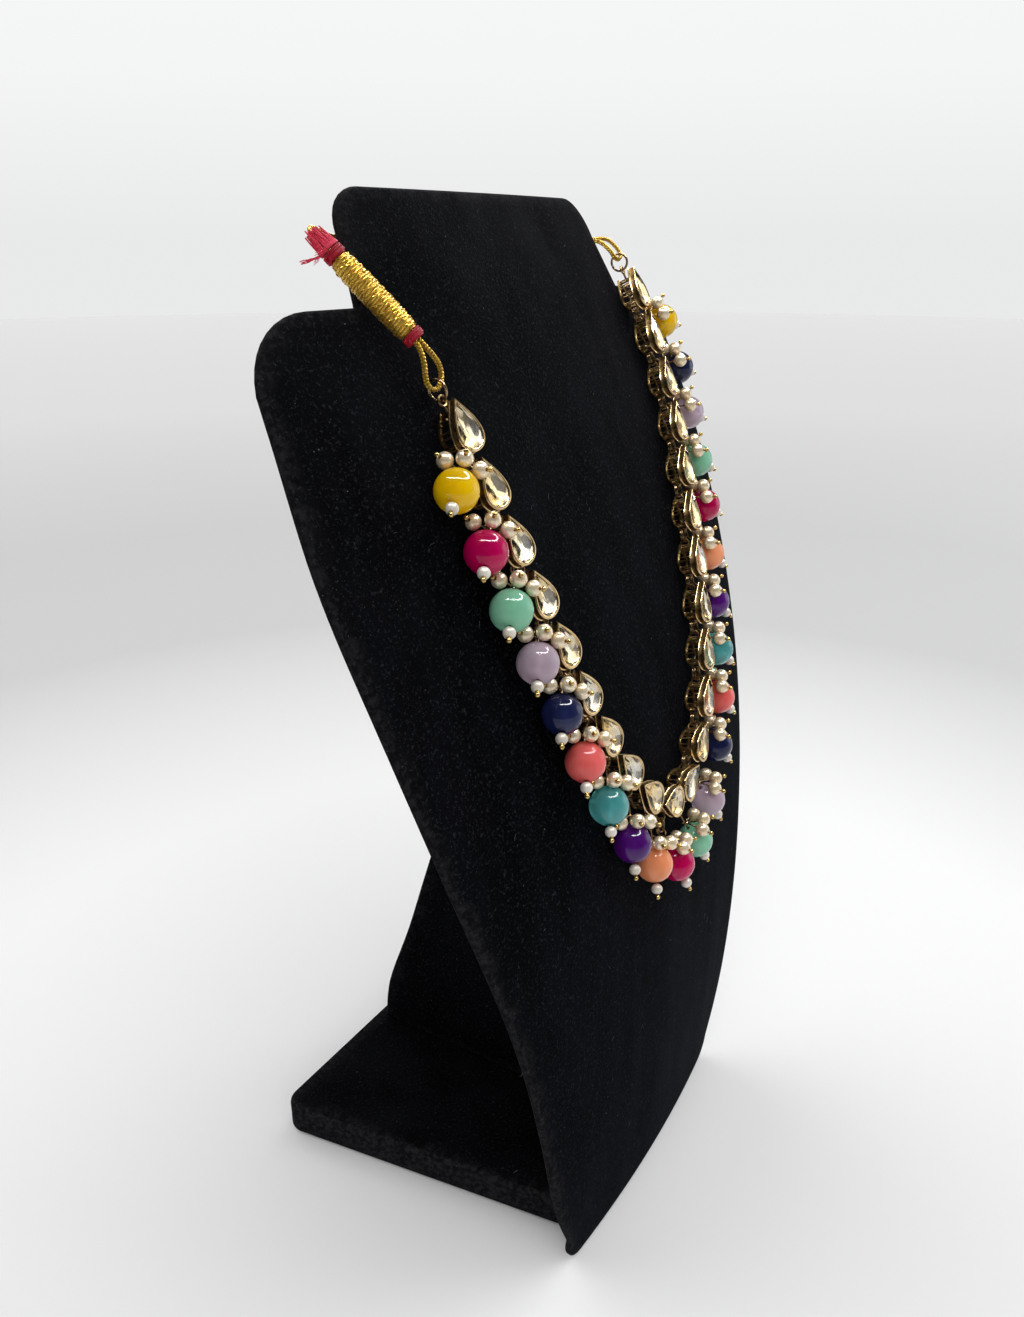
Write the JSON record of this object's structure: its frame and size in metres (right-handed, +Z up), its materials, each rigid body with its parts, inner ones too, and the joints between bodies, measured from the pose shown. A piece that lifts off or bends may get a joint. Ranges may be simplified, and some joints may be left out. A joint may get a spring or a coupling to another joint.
{
  "type": "kundan necklace on a plain velvet display stand",
  "caption": "Kundan necklace of pear-cut stone links with coloured bead and pearl drops and a tie cord, hung on a plain black velvet panel stand.",
  "frame": {"origin": "on the floor under the base plate, on the stand's mid plane, below the neck's lower part", "axes": "+Z up; -Y is the front, which carries the necklace; +X to the right seen from the front"},
  "size_m": [0.1906, 0.1171, 0.2825],
  "materials": {
    "velvet": "black velvet",
    "setting_gold": "antique gold plate",
    "gold_wire": "gold plated wire",
    "stone": "foil-backed clear glass",
    "pearl_white": "pearl glaze",
    "pearl_cream": "cream pearl glaze",
    "bead_yellow": "polished",
    "bead_magenta": "polished",
    "bead_mint": "polished",
    "bead_lavender": "polished",
    "bead_navy": "polished",
    "bead_coral": "polished",
    "bead_aqua": "polished",
    "bead_purple": "polished",
    "bead_peach": "polished",
    "cord_gold": "gold thread",
    "thread_red": "red thread"
  },
  "bodies": {
    "root": {"stand_panel": "velvet", "stand_fin": "velvet", "stand_base": "velvet", "link_01": "setting_gold", "link_02": "setting_gold", "link_03": "setting_gold", "link_04": "setting_gold", "link_05": "setting_gold", "link_06": "setting_gold", "link_07": "setting_gold", "link_08": "setting_gold", "link_09": "setting_gold", "link_10": "setting_gold", "link_11": "setting_gold", "link_12": "setting_gold", "link_13": "setting_gold", "link_14": "setting_gold", "link_15": "setting_gold", "link_16": "setting_gold", "link_17": "setting_gold", "link_18": "setting_gold", "link_19": "setting_gold", "link_20": "setting_gold", "link_21": "setting_gold", "link_22": "setting_gold", "stones": "stone", "bead_01": "bead_yellow", "bead_02": "bead_magenta", "bead_03": "bead_mint", "bead_04": "bead_lavender", "bead_05": "bead_navy", "bead_06": "bead_coral", "bead_07": "bead_aqua", "bead_08": "bead_purple", "bead_09": "bead_peach", "bead_10": "bead_magenta", "bead_11": "bead_mint", "bead_12": "bead_lavender", "bead_13": "bead_navy", "bead_14": "bead_coral", "bead_15": "bead_aqua", "bead_16": "bead_purple", "bead_17": "bead_peach", "bead_18": "bead_magenta", "bead_19": "bead_mint", "bead_20": "bead_lavender", "bead_21": "bead_navy", "bead_22": "bead_yellow", "jump_rings": "gold_wire", "end_rings": "gold_wire", "head_pins": "gold_wire", "end_pearls": "pearl_white", "side_pearls": "pearl_cream", "pearl_sprays": "gold_wire", "dori_front": "cord_gold", "dori_back": "cord_gold", "dori_barrel": "cord_gold", "dori_whippings": "thread_red", "dori_fray": "thread_red"}
  },
  "joints": []
}
